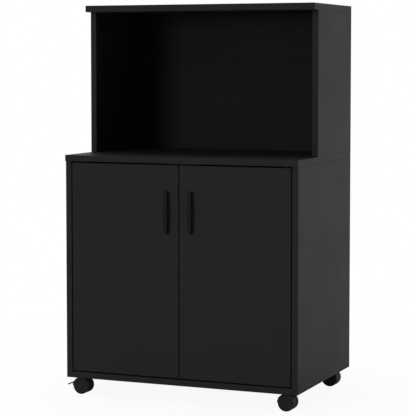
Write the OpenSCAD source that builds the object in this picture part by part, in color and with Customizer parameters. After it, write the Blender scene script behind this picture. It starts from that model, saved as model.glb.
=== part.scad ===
// Microwave cart: a two-door cabinet on twin-wheel casters, with an open hutch on its worktop.
// Millimetres, +Z up. The doors face -Y and +X is to the right of someone facing them.
// The origin lies on the floor, under the middle of the cart's overall box.

/* [Overall] */
// Width of the cart, over its side panels
cart_w = 600; // [520:5:700]
// Depth of the lower cabinet's side panels
cabinet_d = 396; // [360:2:460]

/* [Boards] */
// Thickness of the side panels, bottom, worktop, shelf and hutch sides
board_t = 15; // [15:0.5:19]
// Thickness of the hutch's top board
top_board_t = 16; // [15:0.5:22]
// Thickness of the back panels
back_t = 3; // [2.5:0.5:5]
// Distance from a side panel's rear edge to the back panel
back_inset = 8; // [4:1:16]
// Depth of the grooves that hold the back panels
groove_depth = 6; // [4:0.5:8]

/* [Lower cabinet] */
// Height of the side panels
side_h = 532; // [460:2:620]
// How far the worktop stands out in front of the side panels
worktop_overhang = 4; // [0:1:15]
// Height of the shelf's underside above the bottom panel
shelf_z = 245; // [120:5:320]
// Distance from the cabinet's front edge to the shelf's front edge
shelf_setback = 40; // [32:2:90]

/* [Hutch] */
// Height of the hutch's side boards
hutch_side_h = 349; // [290:1:420]
// Distance from the cabinet's front edge to the hutch sides' front edges
hutch_setback = 139; // [100:1:170]
// How far the top board stands out in front of the hutch sides
top_overhang = 29; // [0:1:60]

/* [Doors] */
// Thickness of a door
door_t = 15; // [14:0.5:18]
// Gap between a door and its side panel
door_side_gap = 2.5; // [2.5:0.5:4]
// Gap between the two doors
door_middle_gap = 2; // [2:0.5:6]
// Gap between a door and the worktop
door_top_gap = 3.5; // [3:0.5:6]
// Gap between a door and the bottom panel
door_bottom_gap = 3; // [3:0.5:6]
// Distance from a door's hinge edge to its pivot
pivot_from_edge = 12; // [12:0.5:16]
// Diameter of the pivot pins
pivot_d = 5; // [4:0.5:6]

/* [Handles] */
// Length of a handle
handle_len = 101; // [80:1:140]
// Width of a handle's middle
handle_w = 10.5; // [8:0.5:14]
// Width of a handle's ends
handle_end_w = 8; // [8:0.5:12]
// How far a handle's middle stands out from the door
handle_proj = 12.5; // [12:0.5:30]
// How much further a handle's middle stands out than its ends
handle_bow = 4.5; // [3:0.5:8]
// Thickness of the handle's bar
handle_bar_t = 4; // [3.5:0.5:6]
// Length of each handle foot
handle_foot = 15; // [12:0.5:20]
// Distance from the cart's middle to a handle's centreline
handle_from_middle = 31; // [20:1:80]
// Distance from the door's top edge to the handle's upper end
handle_drop = 62.5; // [20:0.5:200]

/* [Casters] */
// Height from the floor to the underside of the cabinet
caster_h = 44; // [44:0.5:60]
// Diameter of a caster's wheels
wheel_d = 40.5; // [36:0.5:40.5]
// Thickness of one wheel
wheel_t = 12; // [9:0.5:12.5]
// Thickness of the web between a caster's two wheels
web_t = 10; // [9:0.5:12]
// Distance from a caster's swivel axis to its axle
trail = 4; // [4:0.5:12]
// Distance from the cabinet's side to a swivel axis
stem_inset_x = 32; // [32:1:60]
// Distance from the cabinet's front or rear edge to a swivel axis
stem_inset_y = 36; // [34:1:60]
// Diameter of the king pins
king_pin_d = 5.5; // [4:0.5:5.5]
// Diameter of the axles
axle_d = 4; // [3:0.5:6]
// Side of a caster's square mounting plate
plate_size = 33; // [31:1:34]
// Thickness of a caster's mounting plate
plate_t = 1.5; // [1.2:0.1:1.6]
// Length of a brake lever from its pivot to its tip
lever_len = 33; // [28:0.5:36]
// Width of a brake lever's pedal
pedal_w = 12; // [8:0.5:20]
// Thickness of a brake lever
lever_t = 3; // [2:0.5:4]

/* [Hidden] */
$fn = 48;

// Colours
BOARD = [0.035, 0.035, 0.038];
BACK = [0.02, 0.02, 0.022];
PLASTIC = [0.03, 0.03, 0.03];
STEEL = [0.62, 0.63, 0.64];
DOWEL = [0.72, 0.55, 0.35];
MAGNET = [0.16, 0.15, 0.15];
NYLON = [0.05, 0.05, 0.05];

// Clearances
fit_gap = 0.1;       // a fixed piece in its hole, on the radius
run_gap = 0.05;      // a turning pin in its bush, on the radius
face_gap = 0.3;      // between faces that move past each other
groove_gap = 0.2;    // a back panel in its groove, on each face
shelf_gap = 0.5;     // the shelf against each side panel
wheel_gap = 0.5;     // the hood against the wheels, on the radius
eps = 0.01;          // a cut's run past the face that it opens

// Levels, from the floor
side_z = caster_h;
floor_top_z = side_z + board_t;
worktop_z = side_z + side_h;
hutch_z = worktop_z + board_t;
top_z = hutch_z + hutch_side_h;
door_z = floor_top_z + door_bottom_gap;
door_top_z = worktop_z - door_top_gap;
door_h = door_top_z - door_z;
shelf_bottom_z = floor_top_z + shelf_z;

// Widths and depths, with y = 0 at the front edges of the cabinet's side panels
inner_w = cart_w - 2 * board_t;
door_w = (inner_w - 2 * door_side_gap - door_middle_gap) / 2;
door_centre_x = (door_middle_gap + door_w) / 2;
back_front_y = cabinet_d - back_inset - back_t;
panel_depth = back_front_y - groove_gap;
shelf_d = panel_depth - shelf_setback;
hutch_side_d = cabinet_d - hutch_setback;
top_board_d = hutch_side_d + top_overhang;

// Pivots: pins in the doors' top and bottom edges, in bushes pressed into the boards
pivot_x = inner_w / 2 - door_side_gap - pivot_from_edge;
pivot_y = door_t / 2;
pin_in_door = 20;
pin_in_board = 8;
bush_d = pivot_d + 4;
bush_depth = 10;
flange_d = bush_d + 4;
flange_t = 1.5;

// Flat-pack fittings
cam_d = 15;
cam_depth = 12.5;
cam_from_edge = 34;
bolt_d = 6;
bolt_clear_d = 8;
bolt_thread_d = 5;
bolt_thread_len = 10;
bolt_head_d = 6.6;
bolt_head_t = 3;
cam_slot_w = 7.6;
cam_slot_depth = 1.5;
dowel_d = 8;
dowel_in_edge = 20;
dowel_in_face = 10;
dowel_end_gap = 0.5;
fitting_pitch = 32;
edge_bolt_y = stem_inset_y + plate_size / 2 + cam_d;
edge_dowel_y = edge_bolt_y + fitting_pitch;
edge_bolts_y = [edge_bolt_y, cabinet_d - edge_bolt_y];
edge_dowels_y = [edge_dowel_y, cabinet_d - edge_dowel_y];
hutch_bolts_y = [hutch_setback + 30, cabinet_d - 50];
hutch_dowels_y = [hutch_setback + 60, cabinet_d - 120];

// Shelf pins
shelf_pin_d = 5;
shelf_pin_in = 8;
shelf_pin_out = 8;
shelf_pins_y = [shelf_setback + 35, panel_depth - 35];

// Magnetic catch, under the worktop behind the meeting edges of the doors
catch_w = 64;
catch_d = 14;
magnet_w = 14;
magnet_d = 4;
magnet_h = 8;
magnet_proud = 0.5;
strike_w = 18;
strike_h = 10;
strike_t = 1;
strike_x = 13;
strike_drop = 1;
strike_z = door_top_z - strike_drop - strike_h / 2;
strike_screw_head_d = 5;
strike_screw_len = 9;
catch_wall = 2.5;
catch_h = worktop_z - strike_z + magnet_h / 2 + catch_wall;
catch_screw_grip = 7;
catch_screw_x = 27;
catch_screw_d = 3;
catch_screw_len = catch_h + catch_screw_grip;
magnet_face_y = door_t + strike_t + face_gap;
catch_y = magnet_face_y + magnet_proud;

// Handles
handle_screw_pitch = handle_len - handle_foot;
handle_screw_d = 4;
handle_screw_in = min(8, handle_proj - handle_bow - 2);
handle_corner_r = 3;
handle_r = (pow(handle_len / 2, 2) + pow(handle_bow, 2)) / (2 * handle_bow);
handle_z = door_top_z - handle_drop - handle_len / 2;
screw_head_d = 8;
screw_head_t = 2.4;

// Casters
wheel_r = wheel_d / 2;
hood_in_r = wheel_r + wheel_gap;
hood_t = 1;
plate_z = caster_h - plate_t;
hood_r = hood_in_r + hood_t;
body_top_z = plate_z - face_gap;
wheel_y = web_t / 2 + face_gap + wheel_t / 2;
caster_t = web_t + 2 * (face_gap + wheel_t);
web_r = wheel_r - hood_t;
boss_r = web_t / 2;
king_pin_len = 16;
hood_start = 50;
hood_end = 180;
web_floor_z = 9;
web_cut_z = wheel_r - web_floor_z;
wheel_face_t = 2.5;
wheel_round_r = 1.5;
wheel_hub_r = 6;
wheel_rim_t = 3.5;
wheel_recess = 0.8;
plate_hole_d = 3.4;
plate_corner_r = 3;
plate_hole_pitch = plate_size - 10;
plate_screw_len = 12;
plate_screw_d = 2.8;
plate_screw_head_d = 6;
plate_screw_head_t = 1.4;
pivot_dx = 11;
pivot_dz = 11.5;
lever_angle = 21.8;
lever_press = 12;
lever_w = 5;
lever_pin_d = 3;
pedal_start = 15.5;
lever_boss_d = lever_t + 2;
arm_t = lever_t - 0.6;
arm_lap = 2;
pedal_corner_r = 2;
lever_step = 3;
slot_w = lever_w + 2 * face_gap;
slot_h = lever_t + 2 * wheel_gap;

// Where the overall box ends, and the shift that puts the origin under its middle
lever_reach = pivot_dx + lever_len * cos(lever_angle) + lever_t / 2 * sin(lever_angle);
left_end_x = cart_w / 2 - stem_inset_x + trail + lever_reach;
box_left = max(cart_w / 2, left_end_x);
shift_x = (box_left - cart_w / 2) / 2;
front_y = -max(handle_proj, worktop_overhang);
shift_y = -(cabinet_d + front_y) / 2;

// ---- Shapes that repeat ----

module place() {
    translate([shift_x, shift_y, 0]) children();
}

// A round bar along Z that starts at the origin
module bar(d, len) {
    cylinder(d = d, h = len);
}

// A round hole along Z, from just below the origin
module hole(d, depth) {
    translate([0, 0, -eps]) cylinder(d = d, h = depth + eps);
}

module mirror_if(flag) {
    if (flag) mirror([1, 0, 0]) children();
    else children();
}

module rounded_rect(w, h, r) {
    square([w - 2 * r, h], center = true);
    square([w, h - 2 * r], center = true);
    for (x = [-1, 1], y = [-1, 1])
        translate([x * (w / 2 - r), y * (h / 2 - r)]) circle(r = r);
}

// Turns a shape drawn along +Z so that it runs along +X, -X or another axis
module along_x() {
    rotate([0, 90, 0]) children();
}

module against_x() {
    rotate([0, -90, 0]) children();
}

module along_y() {
    rotate([-90, 0, 0]) children();
}

module downward() {
    rotate([180, 0, 0]) children();
}

// Holes in an upright board's end, for a bolt's shank and its cam, at the origin with the
// board's mid-plane at x = 0, its inner face towards -X and the end's face at z = 0
module end_bolt_holes() {
    downward() hole(bolt_clear_d, cam_from_edge);
    translate([-board_t / 2, 0, -cam_from_edge]) along_x() hole(cam_d, cam_depth);
}

module cam_bolt() {
    hole_len = cam_from_edge - bolt_head_t / 2;
    downward() bar(bolt_d, hole_len);
    translate([0, 0, -cam_from_edge - bolt_head_t / 2]) bar(bolt_head_d, bolt_head_t);
    bar(bolt_thread_d - 2 * fit_gap, bolt_thread_len - dowel_end_gap);
}

module cam_lock() {
    translate([-board_t / 2, 0, -cam_from_edge])
        difference() {
            along_x() bar(cam_d - 2 * fit_gap, cam_depth - fit_gap);
            translate([board_t / 2 - cam_slot_w / 2, -cam_slot_w / 2, -cam_slot_w / 2])
                cube([cam_depth, cam_slot_w, cam_d]);
            translate([-eps, 0, 0]) along_x() cylinder(d = cam_slot_w, h = cam_slot_depth, $fn = 6);
        }
}

module dowel() {
    translate([0, 0, dowel_end_gap - dowel_in_edge])
        bar(dowel_d - 2 * fit_gap, dowel_in_edge + dowel_in_face - 2 * dowel_end_gap);
}

// Places a fitting on both upright boards, at each y of a list and a level z
module on_uprights(ys, z) {
    for (side = [0, 1], y = ys)
        mirror_if(side == 1) translate([cart_w / 2 - board_t / 2, y, z]) children();
}

// Places a fitting on both side panels, lying along X at the middle of the bottom panel
module on_bottom_ends(ys) {
    for (side = [0, 1], y = ys)
        mirror_if(side == 1)
            translate([inner_w / 2, y, side_z + board_t / 2]) rotate([0, 90, 0]) children();
}

// ---- Lower cabinet ----

// The right-hand side panel; the left-hand one is its mirror image
module side_panel() {
    difference() {
        translate([inner_w / 2, 0, side_z]) cube([board_t, cabinet_d, side_h]);
        translate([inner_w / 2 - eps, back_front_y - groove_gap, side_z - eps])
            cube([groove_depth + eps, back_t + 2 * groove_gap, side_h + 2 * eps]);
        for (y = edge_bolts_y) {
            translate([cart_w / 2 - board_t / 2, y, worktop_z]) end_bolt_holes();
            translate([inner_w / 2, y, side_z + board_t / 2])
                along_x() hole(bolt_thread_d, bolt_thread_len);
        }
        for (y = edge_dowels_y) {
            translate([cart_w / 2 - board_t / 2, y, worktop_z]) downward() hole(dowel_d, dowel_in_edge);
            translate([inner_w / 2, y, side_z + board_t / 2]) along_x() hole(dowel_d, dowel_in_face);
        }
        for (y = shelf_pins_y)
            translate([inner_w / 2, y, shelf_bottom_z - shelf_pin_d / 2 - run_gap])
                along_x() hole(shelf_pin_d, shelf_pin_in);
    }
}

module left_side_panel() {
    color(BOARD) mirror([1, 0, 0]) side_panel();
}

module right_side_panel() {
    color(BOARD) side_panel();
}

module bottom_panel() {
    color(BOARD) difference() {
        translate([-inner_w / 2, 0, side_z]) cube([inner_w, panel_depth, board_t]);
        on_bottom_ends(edge_bolts_y) end_bolt_holes();
        on_bottom_ends(edge_dowels_y) downward() hole(dowel_d, dowel_in_edge);
        for (side = [-1, 1])
            translate([side * pivot_x, pivot_y, floor_top_z]) downward() hole(bush_d, bush_depth);
        for (c = CASTERS, i = [-1, 1], j = [-1, 1])
            translate(stem_at(c) + [i * plate_hole_pitch / 2, j * plate_hole_pitch / 2, side_z])
                hole(plate_screw_d + 2 * fit_gap, plate_screw_len - plate_t);
    }
}

module worktop() {
    color(BOARD) difference() {
        translate([-cart_w / 2, -worktop_overhang, worktop_z])
            cube([cart_w, cabinet_d + worktop_overhang, board_t]);
        on_uprights(edge_bolts_y, worktop_z) hole(bolt_thread_d, bolt_thread_len);
        on_uprights(edge_dowels_y, worktop_z) hole(dowel_d, dowel_in_face);
        on_uprights(hutch_bolts_y, hutch_z) downward() hole(bolt_thread_d, bolt_thread_len);
        on_uprights(hutch_dowels_y, hutch_z) downward() hole(dowel_d, dowel_in_face);
        for (side = [-1, 1])
            translate([side * pivot_x, pivot_y, worktop_z]) hole(bush_d, bush_depth);
        for (side = [-1, 1])
            translate([side * catch_screw_x, catch_y + catch_d / 2, worktop_z])
                hole(catch_screw_d, catch_screw_grip);
    }
}

module cabinet_back_panel() {
    tongue = groove_depth - dowel_end_gap;
    color(BACK) translate([-inner_w / 2 - tongue, back_front_y, side_z])
        cube([inner_w + 2 * tongue, back_t, side_h]);
}

module inner_shelf() {
    color(BOARD) translate([shelf_gap - inner_w / 2, shelf_setback, shelf_bottom_z])
        cube([inner_w - 2 * shelf_gap, shelf_d, board_t]);
}

module shelf_pins() {
    color(STEEL) for (side = [0, 1], y = shelf_pins_y)
        mirror_if(side == 1)
            translate([inner_w / 2 + shelf_pin_in - fit_gap, y, shelf_bottom_z - shelf_pin_d / 2 - run_gap])
                against_x() bar(shelf_pin_d - 2 * run_gap, shelf_pin_in + shelf_pin_out);
}

// ---- Hutch ----

// The right-hand hutch side; the left-hand one is its mirror image
module hutch_side() {
    difference() {
        translate([inner_w / 2, hutch_setback, hutch_z]) cube([board_t, hutch_side_d, hutch_side_h]);
        translate([inner_w / 2 - eps, back_front_y - groove_gap, hutch_z - eps])
            cube([groove_depth + eps, back_t + 2 * groove_gap, hutch_side_h + 2 * eps]);
        for (y = hutch_bolts_y) {
            translate([cart_w / 2 - board_t / 2, y, top_z]) end_bolt_holes();
            translate([cart_w / 2 - board_t / 2, y, hutch_z]) mirror([0, 0, 1]) end_bolt_holes();
        }
        for (y = hutch_dowels_y) {
            translate([cart_w / 2 - board_t / 2, y, top_z]) downward() hole(dowel_d, dowel_in_edge);
            translate([cart_w / 2 - board_t / 2, y, hutch_z]) hole(dowel_d, dowel_in_edge);
        }
    }
}

module hutch_left_side() {
    color(BOARD) mirror([1, 0, 0]) hutch_side();
}

module hutch_right_side() {
    color(BOARD) hutch_side();
}

module hutch_top_board() {
    color(BOARD) difference() {
        translate([-cart_w / 2, hutch_setback - top_overhang, top_z])
            cube([cart_w, top_board_d, top_board_t]);
        on_uprights(hutch_bolts_y, top_z) hole(bolt_thread_d, bolt_thread_len);
        on_uprights(hutch_dowels_y, top_z) hole(dowel_d, dowel_in_face);
    }
}

module hutch_back_panel() {
    tongue = groove_depth - dowel_end_gap;
    color(BACK) translate([-inner_w / 2 - tongue, back_front_y, hutch_z])
        cube([inner_w + 2 * tongue, back_t, hutch_side_h]);
}

// ---- Flat-pack fittings ----

// Puts one fitting at each of the sixteen bolted corners
module at_bolted_corners() {
    on_uprights(edge_bolts_y, worktop_z) children();
    on_uprights(hutch_bolts_y, top_z) children();
    on_uprights(hutch_bolts_y, hutch_z) mirror([0, 0, 1]) children();
    on_bottom_ends(edge_bolts_y) children();
}

module cam_bolts() {
    color(STEEL) at_bolted_corners() cam_bolt();
}

module cam_locks() {
    color(STEEL) at_bolted_corners() cam_lock();
}

module wood_dowels() {
    color(DOWEL) {
        on_uprights(edge_dowels_y, worktop_z) dowel();
        on_uprights(hutch_dowels_y, top_z) dowel();
        on_uprights(hutch_dowels_y, hutch_z) mirror([0, 0, 1]) dowel();
        on_bottom_ends(edge_dowels_y) dowel();
    }
}

// ---- Doors ----

module pivot_bush() {
    difference() {
        union() {
            translate([0, 0, fit_gap - bush_depth]) bar(bush_d - 2 * fit_gap, bush_depth - fit_gap);
            bar(flange_d, flange_t);
        }
        translate([0, 0, flange_t]) downward() hole(pivot_d, flange_t + pin_in_board + fit_gap);
    }
}

module pivot_bushes() {
    color(NYLON) for (side = [-1, 1]) {
        translate([side * pivot_x, pivot_y, floor_top_z]) pivot_bush();
        translate([side * pivot_x, pivot_y, worktop_z]) downward() pivot_bush();
    }
}

// A pin that stands in a door's end, at the origin, and reaches down past a gap into its bush
module pivot_pin(gap) {
    translate([0, 0, -gap - pin_in_board]) bar(pivot_d - 2 * run_gap, gap + pin_in_board + pin_in_door);
    translate([0, 0, flange_t + face_gap - gap]) bar(bush_d, gap - flange_t - face_gap);
}

// The left-hand door; the right-hand one is its mirror image
module door_panel() {
    difference() {
        translate([-door_centre_x - door_w / 2, 0, door_z]) cube([door_w, door_t, door_h]);
        translate([-pivot_x, pivot_y, door_z]) hole(pivot_d, pin_in_door + fit_gap);
        translate([-pivot_x, pivot_y, door_top_z]) downward() hole(pivot_d, pin_in_door + fit_gap);
        for (i = [-1, 1])
            translate([-handle_from_middle, -eps, handle_z + i * handle_screw_pitch / 2])
                along_y() hole(handle_screw_d + 2 * fit_gap, door_t + 2 * eps);
        translate([-strike_x, door_t, strike_z]) mirror([0, 1, 0]) along_y()
            hole(catch_screw_d, strike_screw_len);
    }
}

module pivot_pins() {
    translate([-pivot_x, pivot_y, door_z]) pivot_pin(door_bottom_gap);
    translate([-pivot_x, pivot_y, door_top_z]) downward() pivot_pin(door_top_gap);
}

// Side view of the bow handle: out of the door towards the sheet's -x, and z along its y.
// It runs a little past both ends, which the front view then cuts.
module handle_profile() {
    bar_x = handle_r - handle_proj;
    foot_z = handle_len / 2 - handle_foot;
    difference() {
        intersection() {
            translate([bar_x, 0]) circle(r = handle_r, $fn = 180);
            translate([-handle_proj, -handle_len / 2 - eps]) square([handle_proj, handle_len + 2 * eps]);
        }
        intersection() {
            translate([bar_x, 0]) circle(r = handle_r - handle_bar_t, $fn = 180);
            translate([-handle_proj, -foot_z]) square([handle_proj + eps, 2 * foot_z]);
        }
    }
}

// Front view of the handle: its sides swell towards its middle
module handle_front() {
    steps = 12;
    swell_z = handle_len / 2 - handle_corner_r;
    side = [for (i = [0:steps]) let (z = 2 * i / steps - 1)
        [(handle_w - (handle_w - handle_end_w) * z * z) / 2, z * swell_z]];
    rounded_rect(handle_end_w, handle_len, handle_corner_r);
    polygon(concat(side, [for (i = [steps:-1:0]) [-side[i][0], side[i][1]]]));
}

module bow_handle() {
    translate([-handle_from_middle, 0, handle_z])
        difference() {
            intersection() {
                rotate([90, 0, 90]) linear_extrude(handle_w + 2 * eps, center = true) handle_profile();
                rotate([90, 0, 0]) linear_extrude(handle_proj + eps) handle_front();
            }
            for (i = [-1, 1])
                translate([0, 0, i * handle_screw_pitch / 2]) rotate([90, 0, 0])
                    hole(handle_screw_d, handle_screw_in + fit_gap);
        }
}

// Two handle screws from inside the door, and the strike plate's countersunk screw
module door_screws() {
    for (i = [-1, 1])
        translate([-handle_from_middle, door_t, handle_z + i * handle_screw_pitch / 2]) {
            translate([0, -door_t - handle_screw_in, 0])
                along_y() bar(handle_screw_d - 2 * run_gap, door_t + handle_screw_in);
            along_y() bar(screw_head_d, screw_head_t);
        }
    translate([-strike_x, door_t + strike_t, strike_z]) rotate([90, 0, 0]) {
        cylinder(d1 = strike_screw_head_d, d2 = catch_screw_d - 2 * fit_gap, h = strike_t);
        bar(catch_screw_d - 2 * fit_gap, strike_screw_len);
    }
}

module strike_plate() {
    translate([-strike_x, door_t, strike_z])
        difference() {
            translate([-strike_w / 2, 0, -strike_h / 2]) cube([strike_w, strike_t, strike_h]);
            translate([0, -eps, 0]) along_y()
                cylinder(d1 = catch_screw_d, d2 = strike_screw_head_d + 2 * fit_gap, h = strike_t + 2 * eps);
        }
}

module left_door() {
    color(BOARD) door_panel();
}

module left_handle() {
    color(PLASTIC) bow_handle();
}

module left_door_screws() {
    color(STEEL) door_screws();
}

module left_pivot_pins() {
    color(STEEL) pivot_pins();
}

module left_strike_plate() {
    color(STEEL) strike_plate();
}

module right_door() {
    mirror([1, 0, 0]) left_door();
}

module right_handle() {
    mirror([1, 0, 0]) left_handle();
}

module right_door_screws() {
    mirror([1, 0, 0]) left_door_screws();
}

module right_pivot_pins() {
    mirror([1, 0, 0]) left_pivot_pins();
}

module right_strike_plate() {
    mirror([1, 0, 0]) left_strike_plate();
}

// ---- Magnetic catch ----

module at_magnets() {
    for (side = [-1, 1])
        translate([side * strike_x, magnet_face_y, strike_z]) children();
}

module magnetic_catch() {
    color(PLASTIC) difference() {
        translate([-catch_w / 2, catch_y, worktop_z - catch_h]) cube([catch_w, catch_d, catch_h]);
        at_magnets() translate([-magnet_w / 2 - fit_gap, -eps, -magnet_h / 2 - fit_gap])
            cube([magnet_w + 2 * fit_gap, magnet_d + 2 * eps, magnet_h + 2 * fit_gap]);
        for (side = [-1, 1])
            translate([side * catch_screw_x, catch_y + catch_d / 2, worktop_z - catch_h])
                hole(catch_screw_d + 2 * fit_gap, catch_h + eps);
    }
}

module catch_magnets() {
    color(MAGNET) at_magnets() translate([-magnet_w / 2, 0, -magnet_h / 2])
        cube([magnet_w, magnet_d, magnet_h]);
}

module catch_screws() {
    color(STEEL) for (side = [-1, 1])
        translate([side * catch_screw_x, catch_y + catch_d / 2, worktop_z - catch_h]) {
            bar(catch_screw_d - 2 * run_gap, catch_screw_len - fit_gap);
            downward() bar(screw_head_d - 2, screw_head_t);
        }
}

// ---- Casters ----

// Each caster's side (-1 is left) and end (0 is front, 1 is rear)
FL = [-1, 0];
FR = [1, 0];
RL = [-1, 1];
RR = [1, 1];
CASTERS = [FL, FR, RL, RR];

function stem_at(c) = [c[0] * (cart_w / 2 - stem_inset_x),
                       c[1] == 0 ? stem_inset_y : cabinet_d - stem_inset_y, 0];

module at_plate_holes() {
    for (i = [-1, 1], j = [-1, 1])
        translate([i * plate_hole_pitch / 2, j * plate_hole_pitch / 2, plate_z]) children();
}

// The mounting plate with its king pin
module caster_plate(c) {
    color(STEEL) translate(stem_at(c)) difference() {
        union() {
            translate([0, 0, plate_z]) linear_extrude(plate_t)
                rounded_rect(plate_size, plate_size, plate_corner_r);
            translate([0, 0, plate_z - king_pin_len])
                bar(king_pin_d - 2 * run_gap, king_pin_len + eps);
        }
        at_plate_holes() {
            hole(plate_hole_d, plate_t + eps);
            cylinder(d1 = plate_screw_head_d + 2 * fit_gap, d2 = plate_hole_d, h = plate_screw_head_t);
        }
    }
}

module caster_plate_screws() {
    color(STEEL) for (c = CASTERS)
        translate(stem_at(c)) at_plate_holes() {
            bar(plate_screw_d, plate_screw_len - fit_gap);
            cylinder(d1 = plate_screw_head_d, d2 = plate_screw_d, h = plate_screw_head_t);
        }
}

// Upright section of the body, drawn with the axle at the sheet's origin
module wedge(from, to, r) {
    steps = 6;
    polygon(concat([[0, 0]], [for (i = [0:steps]) let (a = from + (to - from) * i / steps)
        r * [cos(a), sin(a)]]));
}

module hood_section() {
    intersection() {
        difference() {
            circle(r = hood_r, $fn = 96);
            circle(r = hood_in_r, $fn = 96);
        }
        wedge(hood_start, hood_end, 2 * hood_r);
    }
}

module web_section() {
    difference() {
        circle(r = web_r, $fn = 96);
        translate([-wheel_d, -wheel_d - web_cut_z]) square([2 * wheel_d, wheel_d]);
    }
    intersection() {
        circle(r = hood_in_r + eps, $fn = 96);
        wedge(hood_start, hood_end, 2 * hood_r);
    }
}

// The swivelling body: a web between the wheels, and a hood over them
module caster_body(c, with_lever) {
    color(PLASTIC) translate(stem_at(c)) difference() {
        union() {
            translate([-trail, 0, wheel_r]) {
                rotate([90, 0, 0]) linear_extrude(caster_t + 2 * fit_gap, center = true) hood_section();
                rotate([90, 0, 0]) linear_extrude(web_t, center = true) web_section();
            }
            translate([0, 0, body_top_z - king_pin_len]) bar(2 * boss_r, king_pin_len);
        }
        translate([0, 0, plate_z]) downward() hole(king_pin_d, king_pin_len + face_gap);
        translate([-trail, -caster_t, wheel_r]) along_y() cylinder(d = axle_d, h = 2 * caster_t);
        if (with_lever)
            translate([-trail - pivot_dx, 0, wheel_r + pivot_dz]) {
                rotate([90, 0, 0]) linear_extrude(slot_w, center = true) lever_sweep();
                translate([0, -caster_t, 0]) along_y() cylinder(d = lever_pin_d, h = 2 * caster_t);
            }
    }
}

// Room for the lever's arm, from a little above its rest to pressed down
module lever_sweep() {
    reach = lever_len + lever_t;
    circle(d = lever_boss_d + 2 * wheel_gap);
    for (press = [-lever_step : lever_step : lever_press + lever_step])
        rotate(lever_angle + press) translate([-reach, -slot_h / 2]) square([reach, slot_h]);
}

// The axle ends inside the wheels, behind their closed faces
module axle(c) {
    half_len = wheel_y + wheel_t / 2 - wheel_face_t - face_gap;
    color(STEEL) translate(stem_at(c) + [-trail, -half_len, wheel_r])
        along_y() bar(axle_d - 2 * run_gap, 2 * half_len);
}

// A wheel on its axle at the sheet's origin: x is the radius, y runs out from the web
module wheel_section() {
    edge_r = wheel_r - wheel_round_r;
    difference() {
        union() {
            translate([0, -wheel_t / 2]) square([edge_r, wheel_t]);
            translate([0, -wheel_t / 2 + wheel_round_r]) square([wheel_r, wheel_t - 2 * wheel_round_r]);
            for (side = [-1, 1])
                translate([edge_r, side * (wheel_t / 2 - wheel_round_r)]) circle(r = wheel_round_r);
        }
        translate([-eps, -wheel_t]) square([axle_d / 2 + eps, 1.5 * wheel_t - wheel_face_t]);
        translate([wheel_hub_r, wheel_t / 2 - wheel_recess])
            square([wheel_r - wheel_rim_t - wheel_hub_r, wheel_t]);
    }
}

module wheel(c, side) {
    color(PLASTIC) translate(stem_at(c) + [-trail, side * wheel_y, wheel_r])
        rotate([side > 0 ? -90 : 90, 0, 0]) rotate_extrude($fn = 96) wheel_section();
}

// The brake lever, with its cross pin
module brake_lever(c) {
    pedal_len = lever_len - pedal_start;
    color(PLASTIC) translate(stem_at(c) + [-trail - pivot_dx, 0, wheel_r + pivot_dz]) {
        rotate([90, 0, 0]) linear_extrude(lever_w, center = true) {
            circle(d = lever_boss_d);
            rotate(lever_angle) translate([-pedal_start - arm_lap, -arm_t / 2])
                square([pedal_start + arm_lap, arm_t]);
        }
        rotate([0, -lever_angle, 0]) translate([pedal_len / 2 - lever_len, 0, -lever_t / 2])
            linear_extrude(lever_t) rounded_rect(pedal_len, pedal_w, pedal_corner_r);
        rotate([90, 0, 0]) cylinder(d = lever_pin_d - 2 * run_gap, h = web_t, center = true);
    }
}

place() left_side_panel();
place() right_side_panel();
place() bottom_panel();
place() worktop();
place() cabinet_back_panel();
place() inner_shelf();
place() shelf_pins();
place() hutch_left_side();
place() hutch_right_side();
place() hutch_top_board();
place() hutch_back_panel();
place() cam_bolts();
place() cam_locks();
place() wood_dowels();
place() pivot_bushes();
place() magnetic_catch();
place() catch_magnets();
place() catch_screws();
place() left_door();
place() left_handle();
place() left_door_screws();
place() left_pivot_pins();
place() left_strike_plate();
place() right_door();
place() right_handle();
place() right_door_screws();
place() right_pivot_pins();
place() right_strike_plate();
place() caster_plate(FL);  // caster_plate_fl
place() caster_plate(FR);  // caster_plate_fr
place() caster_plate(RL);  // caster_plate_rl
place() caster_plate(RR);  // caster_plate_rr
place() caster_plate_screws();
place() caster_body(FL, true);  // caster_body_fl
place() caster_body(FR, false);  // caster_body_fr
place() caster_body(RL, true);  // caster_body_rl
place() caster_body(RR, false);  // caster_body_rr
place() axle(FL);  // axle_fl
place() axle(FR);  // axle_fr
place() axle(RL);  // axle_rl
place() axle(RR);  // axle_rr
place() wheel(FL, -1);  // wheel_fl_front
place() wheel(FL, 1);  // wheel_fl_back
place() wheel(FR, -1);  // wheel_fr_front
place() wheel(FR, 1);  // wheel_fr_back
place() wheel(RL, -1);  // wheel_rl_front
place() wheel(RL, 1);  // wheel_rl_back
place() wheel(RR, -1);  // wheel_rr_front
place() wheel(RR, 1);  // wheel_rr_back
place() brake_lever(FL);  // brake_lever_fl
place() brake_lever(RL);  // brake_lever_rl
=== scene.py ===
"""A microwave cart: gives the cart's solids their finishes, adds its screws, and sets the studio.

Lengths are in metres. The doors face -Y, +X is to the right of someone facing them, and +Z is up.
"""

import math

import bmesh
import bpy
from bpy.props import FloatProperty, FloatVectorProperty, PointerProperty
from mathutils import Matrix, Vector


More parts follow.
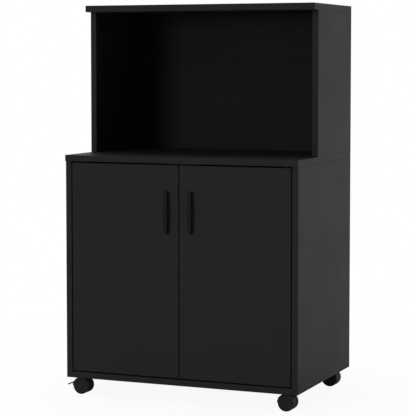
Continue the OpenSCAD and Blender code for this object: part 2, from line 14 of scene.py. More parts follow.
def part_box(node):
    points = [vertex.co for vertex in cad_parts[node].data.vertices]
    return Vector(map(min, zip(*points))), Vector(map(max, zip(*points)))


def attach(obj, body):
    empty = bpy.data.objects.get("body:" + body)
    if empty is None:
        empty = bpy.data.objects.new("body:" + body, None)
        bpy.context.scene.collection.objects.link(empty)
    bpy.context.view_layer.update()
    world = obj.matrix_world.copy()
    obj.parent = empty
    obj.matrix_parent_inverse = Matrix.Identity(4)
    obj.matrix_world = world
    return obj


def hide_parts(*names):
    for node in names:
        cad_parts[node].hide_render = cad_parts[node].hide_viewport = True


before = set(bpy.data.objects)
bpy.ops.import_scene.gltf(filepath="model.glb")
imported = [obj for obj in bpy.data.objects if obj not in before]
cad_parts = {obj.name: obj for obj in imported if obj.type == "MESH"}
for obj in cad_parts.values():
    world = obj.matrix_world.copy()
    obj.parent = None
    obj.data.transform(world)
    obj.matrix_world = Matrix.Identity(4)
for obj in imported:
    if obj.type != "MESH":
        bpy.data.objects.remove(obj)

bl_info = {
    "name": "Microwave Cart",
    "version": (1, 0, 0),
    "blender": (4, 5, 0),
    "location": "View3D > Sidebar > Cart",
    "description": "Finishes a two-door microwave cart with a hutch and casters, and sets its studio",
    "category": "Object",
}

CORNERS = ("fl", "fr", "rl", "rr")
LEVER_CORNERS = ("fl", "rl")
SIDES = ("left", "right")
ACROSS, DEEP, UP = 0, 1, 2
AXES = (ACROSS, DEEP, UP)

# The boards, and the axis that each one's grain follows
BOARD_GRAIN = {
    "left_side_panel": UP,
    "right_side_panel": UP,
    "hutch_left_side": UP,
    "hutch_right_side": UP,
    "bottom_panel": ACROSS,
    "worktop": ACROSS,
    "inner_shelf": ACROSS,
    "hutch_top_board": ACROSS,
    "left_door": UP,
    "right_door": UP,
}

# Corners nearer than the gap are one corner, and faces that turn less than the angle are one face
JOINED_GAP = 0.000002
FLAT_TURN = math.radians(0.3)

# Edges that turn more than the first angle are rounded, and less than the second are shaded smooth
ROUNDED_TURN = math.radians(40)
SMOOTH_TURN = math.radians(35)

# How far from a board's outside, or from its seam, a mark is still full and has faded out
FACE_DEPTH = (0.0002, 0.0003)
SEAM_WIDTH = (0.00006, 0.00016)
RUBBED_DEPTH = (0.0001, 0.0012)

# How deep the bare fibre on the rear of a back panel goes
REAR_SKIN = 0.0002

# How far inside a wheel's radius its tread of dust and painted light begins, and where it is whole
TREAD_START = 0.0012
TREAD_FULL = 0.0002

# Screws longer than this have pan heads, and the others have countersunk heads
PAN_SCREW_LENGTH = 0.015

# How thick a pan head is, and the share of that at which its side ends
PAN_THICKNESS = 0.0024
PAN_SIDE = 0.85

# Shares of a pan head's radius: points of its dome, out from the middle and along from the top, then
# its foot and its shank
PAN_DOME = ((0, 0), (0.35, -0.02), (0.65, -0.09), (0.86, -0.22), (0.97, -0.40))
PAN_FOOT = 0.98
PAN_SHANK = 0.485

# How far down a countersunk head's rim is, and shares of its radius: its flat top and its shank
COUNTERSUNK_RIM = 0.00008
COUNTERSUNK_TOP = 0.97
COUNTERSUNK_SHANK = 0.46

# Shares of a shank's radius: how long its tip is, and how wide it ends
TIP_LENGTH = 1.5
TIP_END = 0.25

# Shares of a screw head's radius: height, reach of the arms and half their width, at both ends of the
# cross that cuts its recess
CROSS_ENDS = ((0.15, 0.60, 0.15), (-0.48, 0.26, 0.10))

# Where the lamps stand, how wide they are, and the point that they all face
KEY_LAMP_PLACE = (-3.6, -9.3, 1.5)
HIGH_LAMP_PLACE = (-2.2, -6.2, 5.1)
TOP_LAMP_PLACE = (-0.4, 0.4, 4.2)
FRONT_LAMP_WIDTH = 2.8
TOP_LAMP_WIDTH = 2.4
LAMP_TARGET = Vector((0, 0, 0.5))

# How far from the cart's middle the floor's shadow begins to fade, and where it is gone
FLOOR_FADE = (0.45, 1.3)
FLOOR_WHITE = (0.95, 0.95, 0.95)

# The way to the brightest part of the room, and the cosines between which its light grows
BRIGHT_WAY = (0.12, 0.99, -0.05)
BRIGHT_SPAN = (0.3, 0.85)

# The width of the camera's sensor, in millimetres
SENSOR_WIDTH = 36


# ---- Sizes and colours that a user would change ----


def colour(name, description, default):
    return FloatVectorProperty(
        name=name,
        description=description,
        default=default,
        subtype="COLOR",
        min=0,
        max=1,
    )


def length(name, description, default):
    return FloatProperty(name=name, description=description, default=default, min=0, unit="LENGTH")


def share(name, description, default):
    return FloatProperty(
        name=name,
        description=description,
        default=default,
        subtype="FACTOR",
        min=0,
        max=1,
    )


def power(name, description, default):
    return FloatProperty(name=name, description=description, default=default, min=0, unit="POWER")


class CartColours(bpy.types.PropertyGroup):
    """The colours of the cart's finishes, as linear values"""

    board: colour("Boards", "Black laminate on the boards and doors", (0.0125, 0.0125, 0.0127))
    board_wear: colour("Board wear", "Where the laminate's edges are rubbed", (0.036, 0.035, 0.034))
    hardboard: colour("Back panels", "Printed face of the thin back panels", (0.0052, 0.0050, 0.0049))
    hardboard_rear: colour("Back panels' rear", "Bare pressed fibre on their rear", (0.13, 0.078, 0.042))
    handle: colour("Handles", "Satin coating on the handles", (0.0083, 0.0083, 0.0084))
    plastic: colour("Moulded plastic", "Caster bodies, brake levers and catch", (0.0105, 0.0105, 0.0107))
    nylon: colour("Bushes", "Deep black nylon of the doors' bushes", (0.004, 0.004, 0.004))
    wheel: colour("Wheels", "Wheels of the casters", (0.0122, 0.0122, 0.0124))
    # Dust on the treads, made paler than real dust so that it also paints in the light the treads catch
    dust_and_light: colour("Dust", "What the treads pick up from the floor", (0.11, 0.105, 0.098))
    zinc: colour("Zinc plating", "Screws, bolts, shelf pins, plates and axles", (0.56, 0.57, 0.58))
    casting: colour("Blackened zinc", "Cam locks and pivot pins", (0.014, 0.014, 0.015))
    beech: colour("Dowels", "Bare wood of the dowels", (0.52, 0.36, 0.20))
    ferrite: colour("Magnets", "Sintered magnets in the catch", (0.055, 0.053, 0.052))


class CartSizes(bpy.types.PropertyGroup):
    """The sizes that only the looks have"""

    board_edge: length("Board edge", "Rounding of the boards' edges", 0.0007)
    handle_edge: length("Handle edge", "Rounding of the handles' edges", 0.0009)
    plastic_edge: length("Plastic edge", "Rounding of the wheels', levers' and catch's edges", 0.0005)
    shell_edge: length("Shell edge", "Rounding of the casters' thin hoods", 0.0002)
    metal_edge: length("Metal edge", "Rounding of metal fittings, bushes and magnets", 0.00015)
    grain_pitch: length("Grain pitch", "Width of one streak of the boards' grain", 0.0016)
    edge_band: length("Edge band", "Thickness of the strips glued to the boards' edges", 0.0008)


class CartStudio(bpy.types.PropertyGroup):
    """The camera, the lamps and the floor"""

    lens: FloatProperty(
        name="Lens",
        description=f"Focal length on a sensor {SENSOR_WIDTH} mm wide",
        default=141.98,
        unit="CAMERA",
    )
    shift: FloatProperty(name="Shift", description="Vertical shift of the lens", default=-0.085)
    place: FloatVectorProperty(
        name="Camera",
        description="Where the camera stands",
        default=(1.5553, -3.7466, 0.8168),
        unit="LENGTH",
    )
    turn: FloatProperty(
        name="Turn",
        description="How far the camera looks to the left",
        default=math.radians(22.507),
        unit="ROTATION",
    )
    tilt: FloatProperty(
        name="Tilt",
        description="How far the camera looks down",
        default=math.radians(3.861),
        unit="ROTATION",
    )
    key_lamp: power("Key lamp", "Power of the level lamp in front, at the left", 172)
    high_lamp: power("High lamp", "Power of the high lamp in front, at the left", 119)
    top_lamp: power("Top lamp", "Power of the lamp overhead", 95)
    air: share("Air", "Brightness of the room all round", 0.27)
    air_behind: share("Air behind", "Extra brightness of the room behind", 0.74)
    floor_size: length("Floor size", "Width of the floor", 4.6)
    floor_tone: share("Floor tone", "How pale the floor is to everything but the camera", 0.92)
    floor_glow: share("Floor glow", "How much of the floor's white is its own", 0.93)


# ---- Node trees ----


class Tree:
    """A material's or world's node tree, built a node at a time: add() returns the new node."""

    def __init__(self, owner):
        owner.use_nodes = True
        self.nodes = owner.node_tree.nodes
        self.links = owner.node_tree.links
        self.nodes.clear()

    def add(self, kind, inputs=None, **settings):
        node = self.nodes.new(kind)
        for name, value in settings.items():
            setattr(node, name, value)
        for name, value in (inputs or {}).items():
            self.put(node.inputs[name], value)
        return node

    def put(self, socket, value):
        """Gives a socket its value: a plain one, or a link from another node."""
        if isinstance(value, bpy.types.NodeSocket):
            self.links.new(value, socket)
        elif isinstance(value, bpy.types.Node):
            self.links.new(next(output for output in value.outputs if output.enabled), socket)
        elif socket.type == "RGBA" and len(value) == 3:
            socket.default_value = (*value, 1)
        else:
            socket.default_value = value

    def math(self, operation, *values):
        node = self.add("ShaderNodeMath", operation=operation)
        for socket, value in zip(node.inputs, values):
            self.put(socket, value)
        return node.outputs[0]

    def vector(self, operation, *values):
        node = self.add("ShaderNodeVectorMath", operation=operation)
        for socket, value in zip(node.inputs, values):
            self.put(socket, value)
        return node

    def parts(self, where):
        """A vector's three parts, in the order of AXES."""
        return self.add("ShaderNodeSeparateXYZ", {"Vector": where}).outputs

    def remap(self, value, span, to=(0.0, 1.0)):
        """A value moved from one span to another, and kept inside it."""
        names = ("Value", "From Min", "From Max", "To Min", "To Max")
        inputs = dict(zip(names, (value, *span, *to)))
        return self.add("ShaderNodeMapRange", inputs, clamp=True).outputs["Result"]

    def blend(self, amount, first, second):
        node = self.add("ShaderNodeMix", data_type="RGBA")
        sockets = {socket.identifier: socket for socket in node.inputs}
        for name, value in (("Factor_Float", amount), ("A_Color", first), ("B_Color", second)):
            self.put(sockets[name], value)
        return node

    def vary(self, amount, base, dark, light):
        """The base colour, from its dark share to its light share as the amount goes from 0 to 1."""
        return self.blend(amount, tone(base, dark), tone(base, light))

    def place(self):
        return self.add("ShaderNodeTexCoord").outputs["Object"]

    def noise(self, where, scale, detail, rough, stretch=None):
        if stretch:
            where = self.add("ShaderNodeMapping", {"Vector": where, "Scale": stretch})
        inputs = {"Vector": where, "Scale": scale, "Detail": detail, "Roughness": rough}
        return self.add("ShaderNodeTexNoise", inputs).outputs["Fac"]

    def bump(self, height, strength, distance, under=None):
        inputs = {"Height": height, "Strength": strength, "Distance": distance}
        if under is not None:
            inputs["Normal"] = under
        return self.add("ShaderNodeBump", inputs)

    def surface(self, **inputs):
        named = {name.replace("_", " "): value for name, value in inputs.items()}
        shader = self.add("ShaderNodeBsdfPrincipled", named)
        self.add("ShaderNodeOutputMaterial", {"Surface": shader})


def new_material(name):
    material = bpy.data.materials.new(name)
    return material, Tree(material)


def tone(base, factor):
    return tuple(min(1.0, part * factor) for part in base)


def along(axis, coarse, fine=1.0):
    """A stretch for a texture: coarse along the axis and fine across it."""
    return tuple(coarse if i == axis else fine for i in AXES)


# ---- Finishes ----


def laminate(node, axis, colours, sizes):
    """Black laminate on one board: streaks of grain with fine pores, a seam where the edge bands
    meet the faces, and edges that are rubbed in places."""
    material, tree = new_material(f"{node} laminate")
    base = colours.board
    pitch = sizes.grain_pitch
    place = tree.place()
    low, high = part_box(node)
    middle = (low + high) / 2
    half = (high - low) / 2
    from_middle = tree.vector("SUBTRACT", place, tuple(middle))
    depths = tree.parts(tree.vector("SUBTRACT", tuple(half), tree.vector("ABSOLUTE", from_middle)))
    thin = depths[min(AXES, key=lambda i: half[i])]
    # The second smallest of the three depths is the way to the nearest edge
    nearer = tree.math("MINIMUM", depths[ACROSS], depths[DEEP])
    farther = tree.math("MAXIMUM", depths[ACROSS], depths[DEEP])
    edge = tree.math("MAXIMUM", nearer, tree.math("MINIMUM", farther, depths[UP]))

    streaks = tree.noise(place, scale=1 / pitch, detail=4, rough=0.6, stretch=along(axis, coarse=0.03))
    bands = tree.noise(place, scale=14, detail=2, rough=0.5, stretch=along(axis, coarse=0.2))
    pore_stretch = along(axis, coarse=0.12, fine=1.6)
    pores = tree.noise(place, scale=0.8 / pitch, detail=2, rough=0.5, stretch=pore_stretch)
    shade = tree.vary(tree.remap(streaks, (0.3, 0.7)), base, dark=0.84, light=1.14)
    shade = tree.blend(tree.remap(bands, (0.35, 0.65), to=(0.0, 0.25)), shade, tone(base, 1.25))

    on_face = tree.remap(thin, FACE_DEPTH, to=(1.0, 0.0))
    off_seam = tree.math("ABSOLUTE", tree.math("SUBTRACT", edge, sizes.edge_band))
    seam = tree.math("MULTIPLY", on_face, tree.remap(off_seam, SEAM_WIDTH, to=(1.0, 0.0)))
    shade = tree.blend(seam, shade, tone(base, 0.3))
    chips = tree.remap(tree.noise(place, scale=160, detail=4, rough=0.65), (0.52, 0.68))
    rubbed = tree.math("MULTIPLY", tree.remap(edge, RUBBED_DEPTH, to=(0.8, 0.0)), chips)
    shade = tree.blend(rubbed, shade, colours.board_wear)

    smudges = tree.noise(place, scale=7, detail=3, rough=0.55)
    matt = tree.remap(streaks, (0.25, 0.75), to=(0.47, 0.54))
    rough = tree.math("ADD", matt, tree.remap(smudges, (0.35, 0.65), to=(-0.015, 0.015)))
    relief = tree.bump(tree.remap(pores, (0.55, 0.75)), strength=0.25, distance=0.00006)
    relief = tree.bump(streaks, strength=0.18, distance=0.00008, under=relief)
    relief = tree.bump(tree.math("SUBTRACT", 1.0, seam), strength=0.4, distance=0.0001, under=relief)
    tree.surface(Base_Color=shade, Roughness=rough, Normal=relief, IOR=1.47, Specular_IOR_Level=0.1)
    return material


def hardboard(node, colours, sizes):
    """A thin back panel: printed grain on its face, and bare pressed fibre on its rear."""
    material, tree = new_material(node)
    face = colours.hardboard
    rear = colours.hardboard_rear
    rear_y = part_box(node)[1].y
    place = tree.place()
    behind = tree.math("GREATER_THAN", tree.parts(place)[DEEP], rear_y - REAR_SKIN)
    streak_stretch = along(ACROSS, coarse=0.035)
    streak_scale = 0.6 / sizes.grain_pitch
    streaks = tree.noise(place, scale=streak_scale, detail=4, rough=0.65, stretch=streak_stretch)
    figure = tree.noise(place, scale=26, detail=3, rough=0.55, stretch=along(ACROSS, coarse=0.12))
    printed = tree.vary(tree.remap(streaks, (0.34, 0.68)), face, dark=0.62, light=1.4)
    printed = tree.blend(tree.remap(figure, (0.4, 0.66), to=(0.0, 0.45)), printed, tone(face, 1.7))
    fibres = tree.noise(place, scale=900, detail=4, rough=0.7)
    clumps = tree.noise(place, scale=60, detail=3, rough=0.6)
    bare = tree.vary(tree.remap(fibres, (0.35, 0.65)), rear, dark=0.72, light=1.25)
    bare = tree.blend(tree.remap(clumps, (0.35, 0.7), to=(0.0, 0.35)), bare, tone(rear, 0.8))
    shade = tree.blend(behind, printed, bare)
    matt = tree.remap(streaks, (0.3, 0.7), to=(0.46, 0.54))
    rough = tree.math("ADD", matt, tree.math("MULTIPLY", behind, 0.3))
    print_relief = tree.math("MULTIPLY", streaks, 0.4)
    weave = tree.math("ADD", print_relief, tree.math("MULTIPLY", fibres, behind))
    relief = tree.bump(weave, strength=0.3, distance=0.0001)
    tree.surface(Base_Color=shade, Roughness=rough, Normal=relief, IOR=1.47, Specular_IOR_Level=0.08)
    return material


def coating(name, base):
    """Satin paint on metal, with a faint orange peel."""
    material, tree = new_material(name)
    place = tree.place()
    peel = tree.noise(place, scale=700, detail=2, rough=0.5)
    cloud = tree.noise(place, scale=60, detail=3, rough=0.5)
    shade = tree.vary(cloud, base, dark=0.85, light=1.2)
    rough = tree.remap(cloud, (0.3, 0.7), to=(0.46, 0.54))
    relief = tree.bump(peel, strength=0.12, distance=0.0001)
    tree.surface(Base_Color=shade, Roughness=rough, Normal=relief, IOR=1.5, Specular_IOR_Level=0.055)
    return material


def moulding(name, base):
    """Moulded plastic with an eroded tool's fine texture."""
    material, tree = new_material(name)
    place = tree.place()
    pits = tree.noise(place, scale=2600, detail=2, rough=0.6)
    flow = tree.noise(place, scale=90, detail=3, rough=0.55)
    shade = tree.vary(tree.remap(flow, (0.3, 0.7)), base, dark=0.82, light=1.22)
    rough = tree.remap(flow, (0.3, 0.7), to=(0.44, 0.56))
    relief = tree.bump(pits, strength=0.22, distance=0.00005)
    tree.surface(Base_Color=shade, Roughness=rough, Normal=relief, IOR=1.49, Specular_IOR_Level=0.12)
    return material


def tyre(node, colours):
    """A plastic wheel: dust and fine scuffs on its tread, with the dust pale enough to paint in the
    light that the tread catches, and clean on its face.
    """
    material, tree = new_material(node)
    low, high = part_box(node)
    middle = (low + high) / 2
    radius = (high.z - low.z) / 2
    place = tree.place()
    parts = tree.parts(tree.vector("SUBTRACT", place, tuple(middle)))
    squares = [tree.math("POWER", parts[i], 2) for i in (ACROSS, UP)]
    away = tree.math("SQRT", tree.math("ADD", *squares))
    tread = tree.remap(away, (radius - TREAD_START, radius - TREAD_FULL))
    pits = tree.noise(place, scale=2600, detail=2, rough=0.6)
    smears = tree.noise(place, scale=240, detail=4, rough=0.65, stretch=along(DEEP, coarse=0.35))
    # Partly real dust and partly painted light: the pale colour lightens the tread as the light it
    # catches would
    dust_and_light_mask = tree.math("MULTIPLY", tread, tree.remap(smears, (0.36, 0.66), to=(0.12, 0.6)))
    shade = tree.vary(tree.remap(smears, (0.3, 0.7)), colours.wheel, dark=0.85, light=1.15)
    shade = tree.blend(dust_and_light_mask, shade, colours.dust_and_light)
    matt = tree.remap(smears, (0.3, 0.7), to=(0.42, 0.52))
    rough = tree.math("ADD", matt, tree.math("MULTIPLY", dust_and_light_mask, 0.4))
    relief = tree.bump(pits, strength=0.2, distance=0.00005)
    tree.surface(Base_Color=shade, Roughness=rough, Normal=relief, IOR=1.49, Specular_IOR_Level=0.12)
    return material


def plating(name, base, rough=0.3, streak_axis=None):
    """Bright metal with the mottle of plating, brushed along an axis where one is given."""
    material, tree = new_material(name)
    place = tree.place()
    mottle = tree.noise(place, scale=420, detail=4, rough=0.6)
    stretch = None if streak_axis is None else along(streak_axis, coarse=0.04)
    scratches = tree.noise(place, scale=5200, detail=2, rough=0.5, stretch=stretch)
    shade = tree.vary(tree.remap(mottle, (0.35, 0.7)), base, dark=0.82, light=1.08)
    sheen = tree.remap(mottle, (0.3, 0.7), to=(rough - 0.05, rough + 0.09))
    relief = tree.bump(scratches, strength=0.12, distance=0.00002)
    tree.surface(Base_Color=shade, Metallic=1.0, Roughness=sheen, Normal=relief)
    return material


def bare_wood(name, base, axis):
    """Unfinished beech, with short rays along the axis."""
    material, tree = new_material(name)
    rays = tree.noise(tree.place(), scale=1300, detail=4, rough=0.6, stretch=along(axis, coarse=0.06))
    shade = tree.vary(tree.remap(rays, (0.3, 0.7)), base, dark=0.75, light=1.15)
    rough = tree.remap(rays, (0.3, 0.7), to=(0.6, 0.75))
    relief = tree.bump(rays, strength=0.3, distance=0.00005)
    tree.surface(Base_Color=shade, Roughness=rough, Normal=relief)
    return material


def sintered(name, base):
    """The gritty dark face of a pressed magnet."""
    material, tree = new_material(name)
    grit = tree.noise(tree.place(), scale=3200, detail=3, rough=0.7)
    shade = tree.vary(tree.remap(grit, (0.35, 0.65)), base, dark=0.7, light=1.4)
    rough = tree.remap(grit, (0.3, 0.7), to=(0.45, 0.62))
    relief = tree.bump(grit, strength=0.35, distance=0.00004)
    tree.surface(Base_Color=shade, Roughness=rough, Normal=relief)
    return material


# ---- Pieces ----


def even_shading():
    """A modifier's node group that shades faces smooth, and keeps edges above SMOOTH_TURN sharp."""
    group = bpy.data.node_groups.get("even shading")
    if group:
        return group
    group = bpy.data.node_groups.new("even shading", "GeometryNodeTree")
    group.interface.new_socket("Mesh", in_out="INPUT", socket_type="NodeSocketGeometry")
    group.interface.new_socket("Mesh", in_out="OUTPUT", socket_type="NodeSocketGeometry")
    nodes, links = group.nodes, group.links
    source = nodes.new("NodeGroupInput")
    result = nodes.new("NodeGroupOutput")
    faces = nodes.new("GeometryNodeSetShadeSmooth")
    faces.domain = "FACE"
    edges = nodes.new("GeometryNodeSetShadeSmooth")
    edges.domain = "EDGE"
    gentle = nodes.new("FunctionNodeCompare")
    gentle.operation = "LESS_THAN"
    gentle.inputs[1].default_value = SMOOTH_TURN
    links.new(nodes.new("GeometryNodeInputMeshEdgeAngle").outputs["Unsigned Angle"], gentle.inputs[0])
    links.new(gentle.outputs[0], edges.inputs["Shade Smooth"])
    links.new(source.outputs[0], faces.inputs[0])
    links.new(faces.outputs[0], edges.inputs[0])
    links.new(edges.outputs[0], result.inputs[0])
    return group


def shade_evenly(piece):
    piece.modifiers.new("even shading", "NODES").node_group = even_shading()
    piece.modifiers.new("flat faces", "WEIGHTED_NORMAL").keep_sharp = True


def dress(node, material, edge=0.0, segments=2):
    """Gives a solid its finish, and rounds its sharp edges."""
    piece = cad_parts[node]
    piece.data.materials.clear()
    piece.data.materials.append(material)
    piece.modifiers.new("joined corners", "WELD").merge_threshold = JOINED_GAP
    whole = piece.modifiers.new("whole faces", "DECIMATE")
    whole.decimate_type = "DISSOLVE"
    whole.angle_limit = FLAT_TURN
    if edge > 0:
        bevel = piece.modifiers.new("rounded edges", "BEVEL")
        bevel.width = edge
        bevel.segments = segments
        bevel.limit_method = "ANGLE"
        bevel.angle_limit = ROUNDED_TURN
        bevel.use_clamp_overlap = False
        bevel.loop_slide = False
    shade_evenly(piece)


def solids(node):
    """The lowest and highest corner of each separate solid in a node, sorted by the lowest."""
    mesh = bmesh.new()
    mesh.from_mesh(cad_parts[node].data)
    bmesh.ops.remove_doubles(mesh, verts=mesh.verts, dist=JOINED_GAP)
    left = set(mesh.verts)
    boxes = []
    while left:
        rim = [left.pop()]
        found = list(rim)
        while rim:
            vert = rim.pop()
            fresh = {edge.other_vert(vert) for edge in vert.link_edges} & left
            left -= fresh
            rim.extend(fresh)
            found.extend(fresh)
        corners = [(min(v.co[i] for v in found), max(v.co[i] for v in found)) for i in AXES]
        boxes.append(tuple(Vector(corner) for corner in zip(*corners)))
    mesh.free()
    return sorted(boxes, key=lambda box: tuple(box[0]))


def turn_profile(mesh, profile, place, segments=32):
    """Adds a turned form: the profile gives its radius at heights along the place's own Z."""
    rings = []
    for radius, height in profile:
        angles = [2 * math.pi * k / segments for k in range(segments)] if radius else [0]
        points = [Vector((radius * math.cos(a), radius * math.sin(a), height)) for a in angles]
        rings.append([mesh.verts.new(place @ point) for point in points])
    for upper, lower in zip(rings, rings[1:]):
        for k in range(segments):
            loop = [upper[k % len(upper)], lower[k % len(lower)]]
            loop += [lower[(k + 1) % len(lower)], upper[(k + 1) % len(upper)]]
            mesh.faces.new(list(dict.fromkeys(loop)))


def add_cross(mesh, place, radius):
    """Adds a tapered cross, which cuts the recess in the head of a screw of that radius."""
    rings = []
    for height, reach, half in CROSS_ENDS:
        plus = []
        for x, y in ((1, 0), (0, 1), (-1, 0), (0, -1)):
            arm = Vector((x, y, 0))
            sideways = Vector((-y, x, 0)) * half
            tip = arm * reach
            plus += [tip - sideways, tip + sideways, arm * half + sideways]
        lift = Vector((0, 0, height))
        rings.append([mesh.verts.new(place @ (radius * (point + lift))) for point in plus])
    top, bottom = rings
    mesh.faces.new(top)
    mesh.faces.new(bottom[::-1])
    for k in range(len(top)):
        mesh.faces.new([top[k - 1], bottom[k - 1], bottom[k], top[k]])


def new_piece(name, mesh):
    """A new object from mesh code, in the scene."""
    bmesh.ops.recalc_face_normals(mesh, faces=mesh.faces)
    data = bpy.data.meshes.new(name)
    mesh.to_mesh(data)
    mesh.free()
    piece = bpy.data.objects.new(name, data)
    bpy.context.scene.collection.objects.link(piece)
    return piece


def screw_profile(radius, length):
    """A screw's radius and height at each step from its head's top to its tip."""
    if length > PAN_SCREW_LENGTH:
        head = PAN_THICKNESS
        shank = radius * PAN_SHANK
        profile = [(radius * out, radius * rise) for out, rise in PAN_DOME]
        profile += [(radius, -head * PAN_SIDE), (radius * PAN_FOOT, -head)]
    else:
        head = radius * COUNTERSUNK_SHANK
        shank = head
        profile = [(0, 0), (radius * COUNTERSUNK_TOP, 0), (radius, -COUNTERSUNK_RIM)]
    profile += [(shank, -head), (shank, shank * TIP_LENGTH - length)]
    profile += [(shank * TIP_END, -length), (0, -length)]
    return profile


def screw_set(node, body, outward, material):
    """Cross-head screws in the places of a node's plain ones. Outward is the way their heads face."""
    screws = bmesh.new()
    crosses = bmesh.new()
    axis = max(AXES, key=lambda i: abs(outward[i]))
    turn = outward.to_track_quat("Z", "Y").to_matrix().to_4x4()
    for low, high in solids(node):
        spot = (low + high) / 2
        spot[axis] = high[axis] if outward[axis] > 0 else low[axis]
        place = Matrix.Translation(spot) @ turn
        radius = (high[axis - 1] - low[axis - 1]) / 2
        turn_profile(screws, screw_profile(radius, high[axis] - low[axis]), place)
        add_cross(crosses, place, radius)
    piece = new_piece(f"{node}_set", screws)
    cutter = new_piece("cross cutter", crosses)
    cut = piece.modifiers.new("recesses", "BOOLEAN")
    cut.object = cutter
    cut.solver = "EXACT"
    cut_piece = piece.evaluated_get(bpy.context.evaluated_depsgraph_get())
    piece.data = bpy.data.meshes.new_from_object(cut_piece)
    piece.modifiers.clear()
    bpy.data.objects.remove(cutter)
    piece.data.materials.clear()
    piece.data.materials.append(material)
    shade_evenly(piece)
    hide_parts(node)
    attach(piece, body)


class CART_OT_boards(bpy.types.Operator):
    """Finish the boards and the doors in black laminate"""

    bl_idname = "cart.boards"
    bl_label = "Boards and doors"

    def execute(self, context):
        colours, sizes = context.scene.cart_colours, context.scene.cart_sizes
        for node, axis in BOARD_GRAIN.items():
            dress(node, laminate(node, axis, colours, sizes), sizes.board_edge)
        return {"FINISHED"}


class CART_OT_back_panels(bpy.types.Operator):
    """Finish the thin back panels of the cabinet and the hutch"""

    bl_idname = "cart.back_panels"
    bl_label = "Back panels"

    def execute(self, context):
        colours, sizes = context.scene.cart_colours, context.scene.cart_sizes
        for node in ("cabinet_back_panel", "hutch_back_panel"):
            dress(node, hardboard(node, colours, sizes))
        return {"FINISHED"}


class CART_OT_handles(bpy.types.Operator):
    """Coat the two bow handles"""

    bl_idname = "cart.handles"
    bl_label = "Handles"

    def execute(self, context):
        finish = coating("satin coating", context.scene.cart_colours.handle)
        edge = context.scene.cart_sizes.handle_edge
        for side in SIDES:
            dress(f"{side}_handle", finish, edge, segments=4)
        return {"FINISHED"}


class CART_OT_screws(bpy.types.Operator):
    """Model the screws, with cross recesses in their heads"""

    bl_idname = "cart.screws"
    bl_label = "Screws"

    def execute(self, context):
        zinc = plating("screw zinc", context.scene.cart_colours.zinc)
        for side in SIDES:
            screw_set(f"{side}_door_screws", f"{side}_door", Vector((0, 1, 0)), zinc)
        for node in ("catch_screws", "caster_plate_screws"):
            screw_set(node, "cabinet", Vector((0, 0, -1)), zinc)
        return {"FINISHED"}


class CART_OT_fittings(bpy.types.Operator):
    """Finish the pivots, the catch, the shelf pins and the fittings in the boards"""

    bl_idname = "cart.fittings"
    bl_label = "Fittings"

    def execute(self, context):
        colours, sizes = context.scene.cart_colours, context.scene.cart_sizes
        zinc = plating("zinc plating", colours.zinc)
        for node in ("cam_bolts", "shelf_pins"):
            dress(node, zinc, sizes.metal_edge)
        blackened = plating("blackened zinc", colours.casting, rough=0.5)
        for side in SIDES:
            dress(f"{side}_strike_plate", zinc, sizes.metal_edge)
            dress(f"{side}_pivot_pins", blackened, sizes.metal_edge)
        dress("cam_locks", blackened, sizes.metal_edge)
        dress("wood_dowels", bare_wood("dowel wood", colours.beech, UP))
        dress("pivot_bushes", moulding("bush nylon", colours.nylon), sizes.metal_edge)
        dress("magnetic_catch", moulding("fitting plastic", colours.plastic), sizes.plastic_edge)
        dress("catch_magnets", sintered("magnet", colours.ferrite), sizes.metal_edge)
        return {"FINISHED"}


class CART_OT_casters(bpy.types.Operator):
    """Finish the casters: plates, bodies, axles, wheels and brake levers"""

    bl_idname = "cart.casters"
    bl_label = "Casters"

    def execute(self, context):
        colours, sizes = context.scene.cart_colours, context.scene.cart_sizes
        plastic = moulding("caster plastic", colours.plastic)
        steel = plating("plate zinc", colours.zinc, rough=0.34, streak_axis=ACROSS)
        for corner in CORNERS:
            dress(f"caster_plate_{corner}", steel, sizes.metal_edge)
            dress(f"caster_body_{corner}", plastic, sizes.shell_edge)
            dress(f"axle_{corner}", steel, sizes.metal_edge)
            for side in ("front", "back"):
                node = f"wheel_{corner}_{side}"
                dress(node, tyre(node, colours), sizes.plastic_edge)
        for corner in LEVER_CORNERS:
            dress(f"brake_lever_{corner}", plastic, sizes.plastic_edge)
        return {"FINISHED"}


# ---- Studio ----


def lamp(name, place, width, watts):
    """A square lamp that faces the cart, and that the camera doesn't see."""
    light = bpy.data.lights.new(name, "AREA")
    light.size = width
    light.energy = watts
    stand = bpy.data.objects.new(name, light)
    stand.location = place
    stand.rotation_euler = (LAMP_TARGET - Vector(place)).to_track_quat("-Z", "Y").to_euler()
    stand.visible_camera = False
    bpy.context.scene.collection.objects.link(stand)


def white_floor(size, paleness, glow):
    """A pale floor: to the camera it is white with the cart's shadow on it, and it is plain and
    matt to everything else."""
    grid = bmesh.new()
    bmesh.ops.create_grid(grid, x_segments=8, y_segments=8, size=size / 2)
    floor = new_piece("floor", grid)
    material, tree = new_material("floor")
    away = tree.vector("LENGTH", tree.place()).outputs["Value"]
    white = tree.add("ShaderNodeBsdfDiffuse", {"Color": FLOOR_WHITE})
    glowing = tree.add("ShaderNodeEmission", {"Color": (1, 1, 1), "Strength": 1.0})
    own_light = tree.remap(away, FLOOR_FADE, to=(glow, 1.0))
    seen = tree.add("ShaderNodeMixShader", {0: own_light, 1: white, 2: glowing})
    plain = tree.add("ShaderNodeBsdfDiffuse", {"Color": (paleness,) * 3})
    to_camera = tree.add("ShaderNodeLightPath").outputs["Is Camera Ray"]
    both = tree.add("ShaderNodeMixShader", {0: to_camera, 1: plain, 2: seen})
    tree.add("ShaderNodeOutputMaterial", {"Surface": both})
    floor.data.materials.append(material)


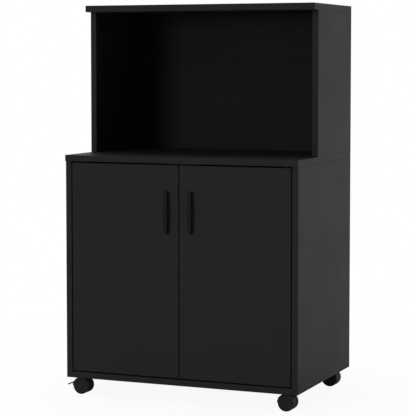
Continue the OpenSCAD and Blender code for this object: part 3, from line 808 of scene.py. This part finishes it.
def room(studio):
    """Plain white where the camera sees it, and soft light that is brighter behind the cart."""
    world = bpy.data.worlds.new("room")
    bpy.context.scene.world = world
    tree = Tree(world)
    toward = tree.add("ShaderNodeTexCoord").outputs["Generated"]
    behind = tree.vector("DOT_PRODUCT", toward, BRIGHT_WAY).outputs["Value"]
    extra = tree.remap(behind, BRIGHT_SPAN, to=(0.0, studio.air_behind))
    level = tree.math("ADD", extra, studio.air)
    seen = tree.add("ShaderNodeLightPath").outputs["Is Camera Ray"]
    strength = tree.math("ADD", tree.math("MULTIPLY", seen, tree.math("SUBTRACT", 1.0, level)), level)
    background = tree.add("ShaderNodeBackground", {"Color": (1, 1, 1), "Strength": strength})
    tree.add("ShaderNodeOutputWorld", {"Surface": background})


def camera(studio):
    """The camera, turned to its left and tilted down from a level look along Y."""
    data = bpy.data.cameras.new("camera")
    data.sensor_width = SENSOR_WIDTH
    data.lens = studio.lens
    data.shift_y = studio.shift
    data.clip_start = 0.1
    data.clip_end = 60
    holder = bpy.data.objects.new("camera", data)
    turn, tilt = studio.turn, studio.tilt
    right = Vector((math.cos(turn), math.sin(turn), 0))
    ahead = Vector((-math.sin(turn) * math.cos(tilt), math.cos(turn) * math.cos(tilt), -math.sin(tilt)))
    axes = Matrix((right, right.cross(ahead), -ahead)).transposed().to_4x4()
    holder.matrix_world = Matrix.Translation(studio.place) @ axes
    bpy.context.scene.collection.objects.link(holder)
    bpy.context.scene.camera = holder


class CART_OT_stage(bpy.types.Operator):
    """Set the floor, the room, the lamps and the camera"""

    bl_idname = "cart.stage"
    bl_label = "Studio"

    def execute(self, context):
        studio = context.scene.cart_studio
        context.scene.view_settings.view_transform = "Standard"
        lamp("key lamp", KEY_LAMP_PLACE, FRONT_LAMP_WIDTH, studio.key_lamp)
        lamp("high lamp", HIGH_LAMP_PLACE, FRONT_LAMP_WIDTH, studio.high_lamp)
        lamp("top lamp", TOP_LAMP_PLACE, TOP_LAMP_WIDTH, studio.top_lamp)
        white_floor(studio.floor_size, studio.floor_tone, studio.floor_glow)
        room(studio)
        camera(studio)
        return {"FINISHED"}


class CART_PT_panel(bpy.types.Panel):
    """The cart's steps, sizes and colours"""

    bl_idname = "CART_PT_panel"
    bl_label = "Microwave cart"
    bl_space_type = "VIEW_3D"
    bl_region_type = "UI"
    bl_category = "Cart"

    def draw(self, context):
        for step in STEPS:
            self.layout.operator(step.bl_idname)
        for group in GROUPS:
            settings = getattr(context.scene, group)
            box = self.layout.box()
            for name in settings.bl_rna.properties.keys():
                if name not in ("rna_type", "name"):
                    box.prop(settings, name)


GROUPS = {"cart_colours": CartColours, "cart_sizes": CartSizes, "cart_studio": CartStudio}
STEPS = (
    CART_OT_stage,
    CART_OT_boards,
    CART_OT_back_panels,
    CART_OT_handles,
    CART_OT_screws,
    CART_OT_fittings,
    CART_OT_casters,
)


def register():
    for cls in (*GROUPS.values(), *STEPS, CART_PT_panel):
        bpy.utils.register_class(cls)
    for name, group in GROUPS.items():
        setattr(bpy.types.Scene, name, PointerProperty(type=group))


def unregister():
    for name in GROUPS:
        delattr(bpy.types.Scene, name)
    for cls in reversed((*GROUPS.values(), *STEPS, CART_PT_panel)):
        bpy.utils.unregister_class(cls)


def main():
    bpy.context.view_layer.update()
    register()
    for step in STEPS:
        group, name = step.bl_idname.split(".")
        getattr(getattr(bpy.ops, group), name)()


if __name__ == "__main__":
    main()
